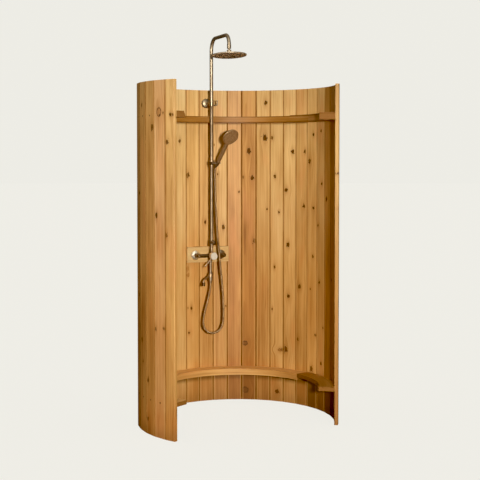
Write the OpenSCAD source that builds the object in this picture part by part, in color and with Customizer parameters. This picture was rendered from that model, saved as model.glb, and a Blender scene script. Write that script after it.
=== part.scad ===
// Outdoor shower: an open round wall of upright cedar staves held by curved
// braces, with an exposed column carrying a mixer, a diverter, a swivel spout,
// a hand shower on a sliding holder and a rain head on a gooseneck arm.
// +Z is up, the plumbing stands at +Y and the doorway opens towards -Y.

/* [Wall] */
// Height of the staves
wall_h = 1980; // [1800:10:2200]
// Outer radius of the round wall, measured at the stave edges
wall_ro = 591; // [588:1:596]
// Thickness of a stave
stave_t = 22; // [20:1:24]
// Small bevel along the outer edges of a stave
edge_out = 2.5; // [1:0.5:4]
// Small bevel along the inner edges of a stave
edge_in = 1.5; // [1:0.5:3]

/* [Braces] */
// Width of a curved brace, front to back
brace_w = 89; // [84:1:91]
// Underside of the upper back brace
upper_z = 1773; // [1700:1:1774]
// Thickness of the back braces
brace_t = 39; // [35:1:40]
// Underside of the lower back brace
lower_z = 177; // [150:1:185]
// Thickness of the lower right brace
thin_brace_t = 24; // [20:1:28]

/* [Backing board] */
// Length of the board behind the mixer
board_w = 280; // [278:1:282]
// Height of the board behind the mixer
board_h = 97; // [89:1:110]

/* [Column] */
// Height of the mixer's centre above the floor
mixer_z = 940; // [936:1:946]
// Outer diameter of the riser pipe
pipe_d = 22; // [20:1:22]
// Height of the gooseneck arm's centre line
arm_z = 2290; // [2260:5:2320]
// Distance between the two supply inlets
inlet_gap = 170; // [160:1:176]
// Height of the upper wall bracket
bracket_z = 1897; // [1880:1:1905]

/* [Rain head] */
// Diameter of the rain head
head_d = 210; // [180:5:250]
// Thickness of the rain head at its rim
head_t = 7; // [5:1:9]
// Forward tilt of the rain head
head_tilt = 5; // [0:1:10]

/* [Hand shower] */
// Height of the slider on the riser pipe
slider_z = 1520; // [1518:1:1530]
// Lean of the hand shower away from upright
hand_lean = 34; // [31:1:35]
// Turn of the hand shower to the right
hand_turn = 25; // [23:1:27]
// Diameter of the hand shower's spray face
face_d = 107; // [90:1:110]

/* [Hose] */
// Outer diameter of the shower hose
hose_d = 14; // [12:1:15]

/* [Hidden] */

n_staves = 27;
mid_stave = 14;                        // the stave in the middle, at angle 0
pitch = 9.33;                          // angle taken by one stave
last_w = 5.3;                          // angle taken by the ripped last stave
first_w = 6.6;                         // angle taken by the ripped first stave
wall_ri = wall_ro - stave_t;
a_left = -(pitch / 2 + 12 * pitch) - first_w;   // free edge on the left, clockwise from +Y
a_right = pitch / 2 + 12 * pitch + last_w;
cy = -152.7;                           // centre of the round wall
flat_in = wall_ri * cos(pitch / 2);    // inner face of a stave, from the centre
flat_out = wall_ro * cos(pitch / 2);
stub_end = -2 * cy - (wall_ro - edge_out) * cos(a_left); // rear end of the supply stubs

col_y = 465;                           // the column's distance from the wall's centre
pr = pipe_d / 2;
board_front = 529.5;                   // front face of the backing board
brace_ro = flat_in - 0.3;
brace_ri = brace_ro - brace_w;

head_y = 150;                          // the rain head's drop, from the wall's centre
ball_z = arm_z - 100;                  // centre of the rain head's ball joint
bend_back = 75;                        // bend above the riser
bend_front = 60;                       // bend above the rain head

div_z = 1024;                          // axis of the diverter knob
piv = 27;                              // the mixer cap's pivot, in front of the column
lever_a = 44;                          // the lever's turn to the left of straight down
spout_a = 60;                          // the spout's turn to the left of straight ahead

hx = 27;                               // centre of the hand shower's socket
hy = 428;
hand_spin = -11;                       // the spray face's turn about the handle
grip_l = 145;                          // socket centre to the neck of the spray head
face_s = 198;                          // socket centre to the middle of the spray face
out_x = -7;                            // the outlet pipe's distance from the column's axis

// the hose's route: across, distance from the wall's centre, height
hose_pts = [[-7, 465, 766], [-8, 465, 742], [-14, 464.5, 710], [-22, 463.5, 678], [-31, 462, 646],
    [-40.5, 460.5, 613], [-49.5, 459.5, 581], [-56.5, 458, 550], [-60, 456.5, 518], [-54.5, 455, 489],
    [-37, 454, 466], [-11, 452.5, 453], [17, 451, 452], [42, 450, 463], [60, 449, 483], [69, 448, 510],
    [72, 447, 550], [72.5, 446, 594], [71, 445, 640], [68.5, 444, 684], [65.5, 443.5, 728], [61, 442.5, 774],
    [56, 441.5, 820], [51, 441, 862], [46.5, 440.5, 902], [42, 440, 944], [37.5, 440, 988], [33.5, 441, 1032],
    [30.5, 443, 1084], [28.5, 446, 1142], [26, 449.5, 1204], [23.5, 452, 1266], [21.5, 453.5, 1328],
    [20, 454, 1384], [18.8, 454, 1426], [17.6, 453, 1456], [17.6, 449.6, 1477], [19.3, 444.4, 1493.2]];

// a point of the wall's plan: radius, angle clockwise from +Y
function at(r, a) = [r * sin(a), r * cos(a)];
function mid_a(k) = k == 27 ? a_right - last_w / 2 : k == 1 ? a_left + first_w / 2 : (k - mid_stave) * pitch;
function half_a(k) = k == 27 ? last_w / 2 : k == 1 ? first_w / 2 : pitch / 2;

// a point on a stave's side, out by n square to that side (s = 1 right, -1 left)
function side(r, n, h, s) = [s * (r * sin(h) + n * cos(h)), r * cos(h) - n * sin(h)];

// smooth curve through the route's points, with two rings between each pair
function cr(p0, p1, p2, p3, t) = 0.5 * ((2 * p1) + (p2 - p0) * t + (2 * p0 - 5 * p1 + 4 * p2 - p3) * t * t
    + (3 * p1 - p0 - 3 * p2 + p3) * t * t * t);
function unit(v) = v / norm(v);
function route(p) = let (n = len(p)) concat([for (i = [0:n - 2], j = [0, 1])
    cr(p[max(i - 1, 0)], p[i], p[i + 1], p[min(i + 2, n - 1)], j / 2)], [p[n - 1]]);
function ring(c, t, r, n) = let (u = unit(cross(t, [0, 1, 0])), v = cross(u, t))
    [for (k = [0:n - 1]) c + r * (cos(360 * k / n) * u + sin(360 * k / n) * v)];

module place() { translate([0, cy, 0]) children(); }
module column() { translate([0, cy + col_y, 0]) children(); }
// turns a shape standing on +Z so that it points forward
module forward() { rotate([90, 0, 0]) children(); }
// turns a shape standing on +Z so that it points right
module across() { rotate([0, 90, 0]) children(); }

// one upright stave with bevelled edges, a tongue on its right and a groove on its left
module stave_shape(k) {
    h = half_a(k);
    e = -0.02;                         // keeps a hair's breadth between two staves
    rm = (wall_ro + wall_ri) / 2;
    tongue = k == 27 ? [] : [side(rm - 2.5, e, h, 1), side(rm - 2.5, 4, h, 1), side(rm + 2.5, 4, h, 1), side(rm + 2.5, e, h, 1)];
    groove = k == 1 ? [] : [side(rm + 3, e, h, -1), side(rm + 3, -4.6, h, -1), side(rm - 3, -4.6, h, -1), side(rm - 3, e, h, -1)];
    yi = wall_ri * cos(h);
    yo = wall_ro * cos(h);
    rotate([0, 0, -mid_a(k)]) linear_extrude(height = wall_h) polygon(concat(
        [[-wall_ri * sin(h) + edge_in, yi], [wall_ri * sin(h) - edge_in, yi], side(wall_ri + edge_in, e, h, 1)],
        tongue,
        [side(wall_ro - edge_out, e, h, 1), [wall_ro * sin(h) - edge_out, yo], [-wall_ro * sin(h) + edge_out, yo],
            side(wall_ro - edge_out, e, h, -1)],
        groove,
        [side(wall_ri + edge_in, e, h, -1)]));
}

module stave(k) {
    tint = ["#c98f52", "#bd8148", "#d09a5c", "#c48a4d", "#b97a42"][(k * 3) % 5];
    // each supply stub goes through the stave on its own side
    pipe_x = k == 13 ? -inlet_gap / 2 : k == 15 ? inlet_gap / 2 : 0;
    color(tint) place() if (pipe_x == 0) stave_shape(k);
    else difference() {
        stave_shape(k);
        translate([pipe_x, 620, mixer_z]) forward() cylinder(r = 11.5, h = 80, $fn = 48);
    }
}

// a curved board laid flat against the wall
module arc_board(a1, a2, z1, z2, ri = brace_ri, ro = brace_ro) {
    translate([0, 0, z1]) rotate([0, 0, 90 - a2])
        rotate_extrude(angle = a2 - a1, $fn = 180) translate([ri, 0]) square([ro - ri, z2 - z1]);
}

module upper_back_brace() {
    color("#b0763c") place() difference() {
        arc_board(-60, 84, upper_z, upper_z + brace_t);
        arc_board(63, 92, upper_z + brace_t - 14, upper_z + brace_t + 10, brace_ri - 10, brace_ro + 10);
        arc_board(-70, -40, upper_z + brace_t - 20, upper_z + brace_t + 10, brace_ri - 10, brace_ro + 10);
    }
}

// half-lapped onto the back brace, its free end cut on a slant
module upper_left_brace() {
    color("#b57c41") place() difference() {
        arc_board(-124, -40.1, upper_z + 1, upper_z + brace_t);
        arc_board(-60.1, -30, upper_z - 10, upper_z + brace_t - 20, brace_ri - 10, brace_ro + 10);
        rotate([0, 0, 121.4]) translate([0, 520, upper_z + brace_t / 2]) rotate([0, 22, 0])
            translate([-90, -80, -60]) cube([90, 160, 120]);
    }
}

module upper_right_brace() {
    z2 = upper_z + brace_t + 4;
    color("#a96f38") place() difference() {
        arc_board(63, 121, upper_z + 1, z2, brace_ri - 1.5);
        arc_board(50, 84.1, upper_z - 10, upper_z + brace_t - 14, brace_ri - 10, brace_ro + 10);
    }
}

module lower_back_brace() { color("#c1864b") place() arc_board(-52, 71, lower_z, lower_z + brace_t); }
module lower_right_brace() {
    z2 = lower_z + brace_t + 2;
    color("#9a6230") place() arc_board(71, 121, z2 - thin_brace_t, z2, brace_ri - 2);
}
module lower_left_brace() {
    color("#a2692f") place() arc_board(-122.3, -52.1, lower_z + 9, lower_z + 9 + thin_brace_t);
}

// its back is shaped to the flats of the three staves that it crosses
module backing_board() {
    b = board_w / 2;
    c = wall_ri * sin(pitch / 2);
    far = wall_ri * cos(pitch * 1.5) + (wall_ri * sin(pitch * 1.5) - b) * tan(pitch);
    color("#c98e52") place() difference() {
        translate([0, 0, mixer_z - board_h / 2 + 2]) linear_extrude(height = board_h) polygon([[-b, board_front + 3],
            [-b + 3, board_front], [b - 3, board_front], [b, board_front + 3],
            [b, far - 0.6], [c, flat_in], [-c, flat_in], [-b, far - 0.6]]);
        for (s = [-1, 1]) translate([s * inlet_gap / 2, 600, mixer_z]) forward() cylinder(r = 11.5, h = 90, $fn = 48);
    }
}

// countersunk wood screws, from outside through each stave into a brace
module wood_screw(z, a, l) {
    rotate([0, 0, -a]) translate([0, flat_out + 0.4, z]) forward() union() {
        cylinder(r = 4.4, h = 1.4, $fn = 24);
        cylinder(r = 2.2, h = l, $fn = 20);
    }
}
module brace_screws() {
    color("#6f5a3c") place() {
        for (k = [1:n_staves]) {
            a = mid_a(k);
            wood_screw(upper_z + 15, k == 23 ? a + 2.5 : a, 50);
            wood_screw(k < 9 ? lower_z + 9 + thin_brace_t / 2 : k < 22 ? lower_z + 18
                : lower_z + brace_t + 2 - thin_brace_t / 2, a, 50);
        }
    }
}

// threaded pipe ends that come through the wall from the hot and cold supplies
module supply_stubs() {
    color("#8d7048") place() for (s = [-1, 1]) translate([s * inlet_gap / 2, 0, mixer_z]) difference() {
        union() {
            translate([0, stub_end, 0]) forward() cylinder(r = 10.2, h = stub_end - 594, $fn = 64);
            translate([0, 595, 0]) forward() cylinder(r = 10.5, h = 90, $fn = 64);
        }
        translate([0, stub_end + 1, 0]) forward() cylinder(r = 7.5, h = stub_end - 515, $fn = 48);
    }
}

module wall_flanges() {
    color("#a58a5c") place() for (s = [-1, 1]) translate([s * inlet_gap / 2, board_front, mixer_z]) forward()
        rotate_extrude($fn = 72) polygon([[10.55, 0], [29, 0], [29.5, 1.5], [28.5, 4], [25.5, 7], [20.5, 10],
            [16, 12.5], [14.5, 14.5], [10.55, 14.5]]);
}

module union_nuts() {
    color("#5d4a30") place() for (s = [-1, 1]) translate([s * inlet_gap / 2, 514.5, mixer_z]) forward() difference() {
        union() {
            cylinder(r = 14.6, h = 15, $fn = 6);
            translate([0, 0, 15]) cylinder(r = 13, h = 3, $fn = 48);
        }
        translate([0, 0, -1]) cylinder(r = 10.55, h = 21, $fn = 48);
    }
}

// cross bar, inlet ends, ports above and below, and the seat of the cartridge
module mixer_body() {
    g = inlet_gap / 2;
    color("#8f7349") place() translate([0, col_y, mixer_z]) difference() {
        union() {
            translate([-g, 0, 0]) across() cylinder(r = 11, h = 2 * g, $fn = 56);
            for (s = [-1, 1]) translate([s * g, 0, 0]) {
                sphere(r = 12.5, $fn = 56);
                translate([0, 40, 0]) forward() cylinder(r = 10.5, h = 40, $fn = 56);
                translate([0, 30, 0]) forward() cylinder(r = 12.5, h = 30, $fn = 56);
            }
            translate([0, 17, 0]) forward() cylinder(r = 21, h = 28, $fn = 72);
            cylinder(r = 14, h = 22, $fn = 56);
            translate([out_x, 0, -22]) cylinder(r = 13, h = 22, $fn = 56);
        }
        translate([0, -3, 0]) forward() cylinder(r = 10, h = 20, $fn = 56);
        translate([0, -11, 0]) forward() cylinder(r = 12, h = 12, $fn = 56);
        translate([0, 0, 10]) cylinder(r = 11, h = 20, $fn = 48);
        translate([out_x, 0, -28]) cylinder(r = 8.5, h = 16, $fn = 48);
    }
}

// turns in the mixer body and carries the round seat on which the cap tips
module cartridge_stem() {
    color("#9b8054") place() translate([0, col_y, mixer_z]) union() {
        translate([0, -3.5, 0]) forward() cylinder(r = 9.95, h = 10, $fn = 56);
        translate([0, -11.3, 0]) forward() cylinder(r = 11.5, h = 8, $fn = 56);
        translate([0, -piv, 0]) forward() rotate_extrude($fn = 72) polygon(concat([[0, -13]],
            [for (a = [-48:6:66]) 17.5 * [cos(a), sin(a)]], [[0, 16]]));
    }
}

// the handle's frame: origin at the pivot, +Z forward, the lever along -Y
module handle_frame() {
    place() translate([0, col_y - piv, mixer_z]) forward() rotate([0, 0, -lever_a]) children();
}
module mixer_cap() {
    color("#d9c9a6") handle_frame() difference() {
        rotate_extrude($fn = 96) polygon([[0, -6], [22.4, -6], [23, -5.4], [23, 19.6], [21.6, 21], [0, 21]]);
        sphere(r = 17.9, $fn = 72);
    }
}
module mixer_lever() {
    color("#9c8257") handle_frame() translate([0, -22, 13]) rotate([80, 0, 0]) union() {
        cylinder(r = 3.4, h = 63, $fn = 32);
        translate([0, 0, 63]) sphere(r = 4.6, $fn = 36);
    }
}

module diverter_body() {
    color("#8a6f47") column() difference() {
        union() {
            translate([0, 0, mixer_z + 10.5]) cylinder(r = 10.98, h = div_z - 20 - mixer_z - 10.5, $fn = 48);
            translate([0, 0, div_z - 20]) cylinder(r = 15.4, h = 36, $fn = 56);
            translate([0, 0, div_z]) forward() cylinder(r = 10, h = 27, $fn = 56);
        }
        translate([0, 0, div_z + 8]) cylinder(r = pr, h = 20, $fn = 56);
        translate([0, -10, div_z]) forward() cylinder(r = 5, h = 20, $fn = 40);
    }
}
module diverter_knob() {
    color("#4d3a26") column() translate([0, 0, div_z]) difference() {
        union() {
            translate([0, -11, 0]) forward() cylinder(r = 4.95, h = 20, $fn = 40);
            translate([0, -28, 0]) forward() rotate_extrude($fn = 72) polygon([[0, 0], [11, 0], [13, 2], [13, 20],
                [11.5, 23], [8, 24.5], [0, 25]]);
        }
        for (a = [0:45:315]) rotate([0, a, 0]) translate([16.2, -31, 0]) forward() cylinder(r = 4.2, h = 30, $fn = 24);
    }
}

module riser_pipe() {
    color("#8b6f48") column() translate([0, 0, div_z + 8]) cylinder(r = pr, h = bracket_z - div_z - 8, $fn = 64);
}

// the upper pipe: up from the bracket, forward over the user and down to the head
module gooseneck_arm() {
    color("#866942") place() difference() {
        union() {
            translate([0, col_y, bracket_z]) cylinder(r = pr, h = arm_z - bend_back - bracket_z, $fn = 64);
            translate([0, col_y - bend_back, arm_z - bend_back]) rotate([90, 0, 90])
                rotate_extrude(angle = 90, $fn = 96) translate([bend_back, 0]) circle(r = pr, $fn = 64);
            translate([0, col_y - bend_back, arm_z]) forward() cylinder(r = pr, h = col_y - bend_back - head_y - bend_front, $fn = 64);
            translate([0, head_y + bend_front, arm_z - bend_front]) rotate([90, 0, -90])
                rotate_extrude(angle = 90, $fn = 96) translate([bend_front, 0]) circle(r = pr, $fn = 64);
            translate([0, head_y, ball_z + 14]) cylinder(r = 12.2, h = arm_z - bend_front - ball_z - 14, $fn = 64);
        }
        translate([0, head_y, ball_z + 10]) cylinder(r = 7, h = 24, $fn = 48);
    }
}

// flange on the wall, rod, clamp round the riser, and a small hook
module wall_bracket() {
    fy = flat_in - col_y;
    color("#94794e") column() translate([0, 0, bracket_z]) difference() {
        union() {
            translate([0, fy, 0]) forward() rotate_extrude($fn = 72) polygon([[0, 0], [30, 0], [30, 2.5], [27.5, 6],
                [22, 9.5], [14, 12], [8, 13], [0, 13]]);
            translate([0, fy - 10, 0]) forward() cylinder(r = 7, h = fy - 20, $fn = 48);
            translate([0, 0, -19]) cylinder(r = 15, h = 36, $fn = 64);
            translate([12, 0, -15]) across() cylinder(r = 4, h = 19, $fn = 36);
            translate([31, 0, -7]) rotate([90, 0, 0]) rotate([0, 0, -90]) rotate_extrude(angle = 90, $fn = 48)
                translate([8, 0]) circle(r = 4, $fn = 36);
            translate([39, 0, -7]) cylinder(r = 4, h = 20, $fn = 36);
            translate([39, 0, 13]) sphere(r = 4.6, $fn = 36);
        }
        translate([0, 0, -30]) cylinder(r = pr, h = 70, $fn = 64);
    }
}

// pipe below the mixer, the body that the spout turns on, and the hose's port
module hose_outlet() {
    color("#8d7249") column() translate([out_x, 0, 0]) union() {
        translate([0, 0, 826]) cylinder(r = 8.48, h = mixer_z - 12.5 - 826, $fn = 48);
        translate([0, 0, 828]) cylinder(r = 12.6, h = 6, $fn = 56);
        translate([0, 0, 806]) cylinder(r = 11, h = 22, $fn = 56);
        translate([0, 0, 784]) cylinder(r = 13, h = 22, $fn = 56);
        translate([0, 0, 770]) cylinder(r = 6.5, h = 15, $fn = 48);
        translate([0, -11, 797]) forward() cylinder(r = 4.5, h = 5, $fn = 36);
        translate([0, -15.5, 797]) sphere(r = 3.6, $fn = 32);
    }
}

// the spout's frame: origin on the outlet pipe's axis, the spout along +X
module spout_frame() { column() translate([out_x, 0, 0]) rotate([0, 0, -90 - spout_a]) children(); }
module swivel_spout() {
    ex = 9 + 54 * sin(118) - 18 * cos(62);   // centre of the bend at the arm's end
    ez = 818 + 54 * cos(118) - 18 * sin(62);
    color("#92764b") spout_frame() difference() {
        union() {
            translate([0, 0, 807]) cylinder(r = 15, h = 20, $fn = 56);
            translate([9, 0, 818]) rotate([0, 118, 0]) cylinder(r = 6.5, h = 55, $fn = 48);
            translate([ex, 0, ez]) rotate([90, 0, 0]) rotate_extrude(angle = 62, $fn = 64)
                translate([18, 0]) circle(r = 6.4, $fn = 48);
        }
        translate([0, 0, 800]) cylinder(r = 11.06, h = 40, $fn = 56);
    }
}
module spout_aerator() {
    color("#6a5434") spout_frame() translate([66.23, 0, 0]) difference() {
        union() {
            translate([0, 0, 755]) cylinder(r = 9.6, h = 14, $fn = 48);
            translate([0, 0, 769]) cylinder(r = 10.3, h = 7.75, $fn = 48);
        }
        translate([0, 0, 750]) cylinder(r = 7.5, h = 11, $fn = 40);
    }
}

// slides on the riser; its barrel lies across, in front of the pipe
module slider_body() {
    color("#7d633d") column() translate([0, 0, slider_z]) difference() {
        union() {
            translate([0, 0, -19]) cylinder(r = 14.6, h = 38, $fn = 64);
            translate([-9, hy - col_y, -8]) cube([17, 30, 16]);
            translate([-11, hy - col_y, 0]) across() cylinder(r = 9, h = 20, $fn = 56);
        }
        translate([0, 0, -30]) cylinder(r = pr + 0.06, h = 60, $fn = 64);
        translate([-20, hy - col_y, 0]) across() cylinder(r = 3.55, h = 60, $fn = 36);
    }
}
module slider_knob() {
    color("#3d2c1b") column() translate([0, hy - col_y, slider_z]) difference() {
        union() {
            translate([-27, 0, 0]) across() rotate_extrude($fn = 56) polygon([[0, 0], [8, 0], [10, 2], [10, 13],
                [8.8, 15.6], [0, 15.6]]);
            translate([-13, 0, 0]) across() cylinder(r = 3.5, h = 16, $fn = 36);
        }
        for (a = [0:45:315]) rotate([a, 0, 0]) translate([-28, 12.7, 0]) across() cylinder(r = 3.6, h = 20, $fn = 24);
    }
}

// the hand shower's frame: origin at the socket's centre, +Z up the handle, spray towards -Y
module hand_frame() {
    place() translate([hx, hy, slider_z]) rotate([0, 0, hand_turn]) rotate([hand_lean, 0, 0])
        rotate([0, 0, hand_spin]) children();
}
module handset_holder() {
    color("#5f4a2d") difference() {
        union() {
            hand_frame() cylinder(r1 = 12.6, r2 = 14.2, h = 24, center = true, $fn = 64);
            column() translate([0, hy - col_y, slider_z]) {
                translate([4, 0, 0]) across() cylinder(r = 3.5, h = 8, $fn = 36);
                translate([9.3, 0, 0]) across() cylinder(r = 8.6, h = 8, $fn = 48);
                translate([hx + 11, 0, 0]) across() cylinder(r = 4, h = 5, $fn = 36);
                translate([hx + 17, 0, 0]) sphere(r = 5, $fn = 40);
            }
        }
        hand_frame() cylinder(r1 = 10.34, r2 = 12.06, h = 25, center = true, $fn = 64);
    }
}

// handle and head shell of the hand shower
module handset_body() {
    color("#80633c") hand_frame() difference() {
        union() {
            rotate_extrude($fn = 64) polygon([[0, -17], [9.4, -17], [9.7, -16], [9.95, -12], [11.6, 12],
                [12.4, 28], [13, 60], [13.3, 100], [12.6, grip_l + 20], [0, grip_l + 20]]);
            translate([0, 0, face_s]) forward() rotate_extrude($fn = 96) polygon([[0, -13.5], [18, -13.2], [34, -10.5],
                [46, -5], [face_d / 2 - 1, 2], [face_d / 2, 5], [face_d / 2, 8], [face_d / 2 - 1.5, 9.5], [0, 9.5]]);
        }
        translate([0, -9.5, face_s]) forward() cylinder(r = face_d / 2 - 2, h = 8, $fn = 96);
    }
}
module handset_face() {
    color("#6b5231") hand_frame() translate([0, -9.5, face_s]) forward()
        rotate_extrude($fn = 96) polygon([[0, 0], [face_d / 2 - 5, 0], [face_d / 2 - 6, 2], [0, 2.6]]);
}
module hose_nut_upper() {
    color("#8a6e45") hand_frame() rotate_extrude($fn = 56) polygon([[0, -32], [7.4, -32], [7.9, -30], [8.6, -22],
        [9.1, -20], [9.1, -17], [0, -17]]);
}
module hose_nut_lower() {
    color("#8a6e45") column() translate([out_x, 0, 0]) difference() {
        rotate_extrude($fn = 56) polygon([[0, 766], [7.4, 766], [8.6, 768], [9.6, 778], [10.4, 780], [10.4, 784], [0, 784]]);
        translate([0, 0, 770]) cylinder(r = 6.5, h = 20, $fn = 48);
    }
}

module hose() {
    p = [for (q = route(hose_pts)) q + [0, cy, 0]];
    n = len(p);
    m = 10;
    up = [sin(hand_turn) * sin(hand_lean), -cos(hand_turn) * sin(hand_lean), cos(hand_lean)];
    rings = [for (i = [0:n - 1]) ring(p[i], i == 0 ? [0, 0, -1] : i == n - 1 ? up
        : unit(p[i + 1] - p[i - 1]), hose_d / 2, m)];
    pts = [for (r = rings, q = r) q];
    color("#6e552f") polyhedron(points = pts, faces = concat(
        [[for (k = [0:m - 1]) k]], [[for (k = [m - 1:-1:0]) (n - 1) * m + k]],
        [for (i = [0:n - 2], k = [0:m - 1]) [i * m + k, (i + 1) * m + k, (i + 1) * m + (k + 1) % m]],
        [for (i = [0:n - 2], k = [0:m - 1]) [i * m + k, (i + 1) * m + (k + 1) % m, i * m + (k + 1) % m]]));
}

// turns in the arm's end and carries the ball on which the rain head tips
module ball_stud() {
    color("#7b6340") place() translate([0, head_y, ball_z]) union() {
        translate([0, 0, 11]) cylinder(r = 6.94, h = 20, $fn = 48);
        cylinder(r = 5, h = 12, $fn = 40);
        sphere(r = 9, $fn = 56);
    }
}
module rain_head() {
    color("#7a5d38") place() translate([0, head_y, ball_z]) rotate([-head_tilt, 0, 0]) difference() {
        rotate_extrude($fn = 120) polygon([[0, -22 - head_t], [head_d / 2 - 1.5, -22 - head_t], [head_d / 2, -20.5 - head_t],
            [head_d / 2, -22.6], [head_d / 2 - 2, -21.4], [60, -20], [24, -18], [17, -15], [13.5, -11], [13.5, 5],
            [12.6, 6.4], [0, 6.4]]);
        sphere(r = 9.3, $fn = 56);
        translate([0, 0, 3]) cylinder(r1 = 5.5, r2 = 8.6, h = 4, $fn = 48);
    }
}

stave(1);  // stave_01
stave(2);  // stave_02
stave(3);  // stave_03
stave(4);  // stave_04
stave(5);  // stave_05
stave(6);  // stave_06
stave(7);  // stave_07
stave(8);  // stave_08
stave(9);  // stave_09
stave(10);  // stave_10
stave(11);  // stave_11
stave(12);  // stave_12
stave(13);  // stave_13
stave(14);  // stave_14
stave(15);  // stave_15
stave(16);  // stave_16
stave(17);  // stave_17
stave(18);  // stave_18
stave(19);  // stave_19
stave(20);  // stave_20
stave(21);  // stave_21
stave(22);  // stave_22
stave(23);  // stave_23
stave(24);  // stave_24
stave(25);  // stave_25
stave(26);  // stave_26
stave(27);  // stave_27
upper_back_brace();
upper_left_brace();
upper_right_brace();
lower_back_brace();
lower_right_brace();
lower_left_brace();
backing_board();
brace_screws();
supply_stubs();
wall_flanges();
union_nuts();
mixer_body();
cartridge_stem();
mixer_cap();
mixer_lever();
diverter_body();
diverter_knob();
riser_pipe();
gooseneck_arm();
wall_bracket();
hose_outlet();
swivel_spout();
spout_aerator();
slider_body();
slider_knob();
handset_holder();
handset_body();
handset_face();
hose();
hose_nut_lower();
hose_nut_upper();
ball_stud();
rain_head();
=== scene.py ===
import math
import random

import bpy
import numpy as np
from mathutils import Euler, Matrix, Vector


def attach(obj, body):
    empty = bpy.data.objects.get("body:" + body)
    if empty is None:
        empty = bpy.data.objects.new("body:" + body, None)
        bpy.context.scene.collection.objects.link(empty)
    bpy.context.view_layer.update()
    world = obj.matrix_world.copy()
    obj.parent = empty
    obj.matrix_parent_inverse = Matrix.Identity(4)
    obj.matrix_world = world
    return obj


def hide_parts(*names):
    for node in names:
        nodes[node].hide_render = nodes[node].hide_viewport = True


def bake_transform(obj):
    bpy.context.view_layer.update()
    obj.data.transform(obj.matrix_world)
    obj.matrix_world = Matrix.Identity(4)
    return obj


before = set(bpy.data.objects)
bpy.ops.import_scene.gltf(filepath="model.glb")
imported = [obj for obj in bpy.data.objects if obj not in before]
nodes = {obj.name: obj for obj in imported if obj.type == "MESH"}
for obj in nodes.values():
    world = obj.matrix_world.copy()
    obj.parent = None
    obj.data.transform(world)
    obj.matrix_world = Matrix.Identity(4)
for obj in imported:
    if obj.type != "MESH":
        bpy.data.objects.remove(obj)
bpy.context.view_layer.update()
scene = bpy.context.scene

CY = -0.1527  # centre of the round wall
COL = CY + 0.465  # the column's distance from the wall's centre
PITCH = math.radians(9.33)  # angle taken by one stave
R_IN = 0.569  # inner radius of the wall


# ---------------------------------------------------------------- camera

cam_data = bpy.data.cameras.new("camera")
cam_data.lens = 80.97
cam_data.sensor_width = 36.0
cam_data.shift_x = 0.0
cam_data.shift_y = -0.0813
cam_data.clip_start = 0.05
cam_data.clip_end = 400.0
camera = bpy.data.objects.new("camera", cam_data)
scene.collection.objects.link(camera)
AHEAD, RIGHT = (0.3600, 0.9330), (0.9330, -0.3600)
camera.location = (
    -6.3284 * AHEAD[0] + 0.0112 * RIGHT[0],
    CY - 6.3284 * AHEAD[1] + 0.0112 * RIGHT[1],
    1.5546,
)
camera.rotation_euler = (math.radians(90 - 2.3), 0.0, math.radians(-21.1))
scene.camera = camera


# ---------------------------------------------------------------- meshes


def new_mesh(name, verts, faces, smooth=True, sharp=None):
    mesh = bpy.data.meshes.new(name)
    mesh.from_pydata([tuple(v) for v in verts], [], [tuple(f) for f in faces])
    mesh.validate()
    mesh.update()
    if smooth:
        mesh.polygons.foreach_set("use_smooth", [True] * len(mesh.polygons))
        if sharp is not None:
            mesh.set_sharp_from_angle(angle=math.radians(sharp))
    obj = bpy.data.objects.new(name, mesh)
    scene.collection.objects.link(obj)
    return obj


def finish_piece(obj, body, material):
    obj.data.materials.clear()
    obj.data.materials.append(material)
    if body:
        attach(obj, body)
    return obj


class Shape:
    """Collects the parts of one mesh."""

    def __init__(self):
        self.v, self.f = [], []

    def add(self, verts, faces):
        n = len(self.v)
        self.v += [tuple(p) for p in verts]
        self.f += [tuple(i + n for i in f) for f in faces]

    def turned(self, profile, matrix, sides=24, wobble=None):
        """A surface of revolution about +Z, closed where the radius is 0."""
        rings, verts, faces = [], [], []
        for r, z in profile:
            if r < 1e-7:
                rings.append([len(verts)])
                verts.append((0, 0, z))
            else:
                rings.append(list(range(len(verts), len(verts) + sides)))
                for k in range(sides):
                    a = 2 * math.pi * k / sides
                    rr = r * (1 + wobble(a, r, z)) if wobble else r
                    verts.append((rr * math.cos(a), rr * math.sin(a), z))
        for a, b in zip(rings, rings[1:]):
            for k in range(sides):
                j = (k + 1) % sides
                if len(a) == 1 and len(b) > 1:
                    faces.append((a[0], b[j], b[k]))
                elif len(b) == 1 and len(a) > 1:
                    faces.append((a[k], a[j], b[0]))
                elif len(a) > 1:
                    faces.append((a[k], a[j], b[j], b[k]))
        self.add([matrix @ Vector(p) for p in verts], faces)

    def obj(self, name, smooth=True, sharp=40):
        return new_mesh(name, self.v, self.f, smooth, sharp)


# ---------------------------------------------------------------- hose

HOSE_D = 0.014
HOSE_ROUTE = [
    (-7, 465, 766), (-8, 465, 742), (-14, 464.5, 710), (-22, 463.5, 678), (-31, 462, 646),
    (-40.5, 460.5, 613), (-49.5, 459.5, 581), (-56.5, 458, 550), (-60, 456.5, 518), (-54.5, 455, 489),
    (-37, 454, 466), (-11, 452.5, 453), (17, 451, 452), (42, 450, 463), (60, 449, 483), (69, 448, 510),
    (72, 447, 550), (72.5, 446, 594), (71, 445, 640), (68.5, 444, 684), (65.5, 443.5, 728), (61, 442.5, 774),
    (56, 441.5, 820), (51, 441, 862), (46.5, 440.5, 902), (42, 440, 944), (37.5, 440, 988), (33.5, 441, 1032),
    (30.5, 443, 1084), (28.5, 446, 1142), (26, 449.5, 1204), (23.5, 452, 1266), (21.5, 453.5, 1328),
    (20, 454, 1384), (18.8, 454, 1426), (17.6, 453, 1456), (17.6, 449.6, 1477), (19.3, 444.4, 1493.2),
]


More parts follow.
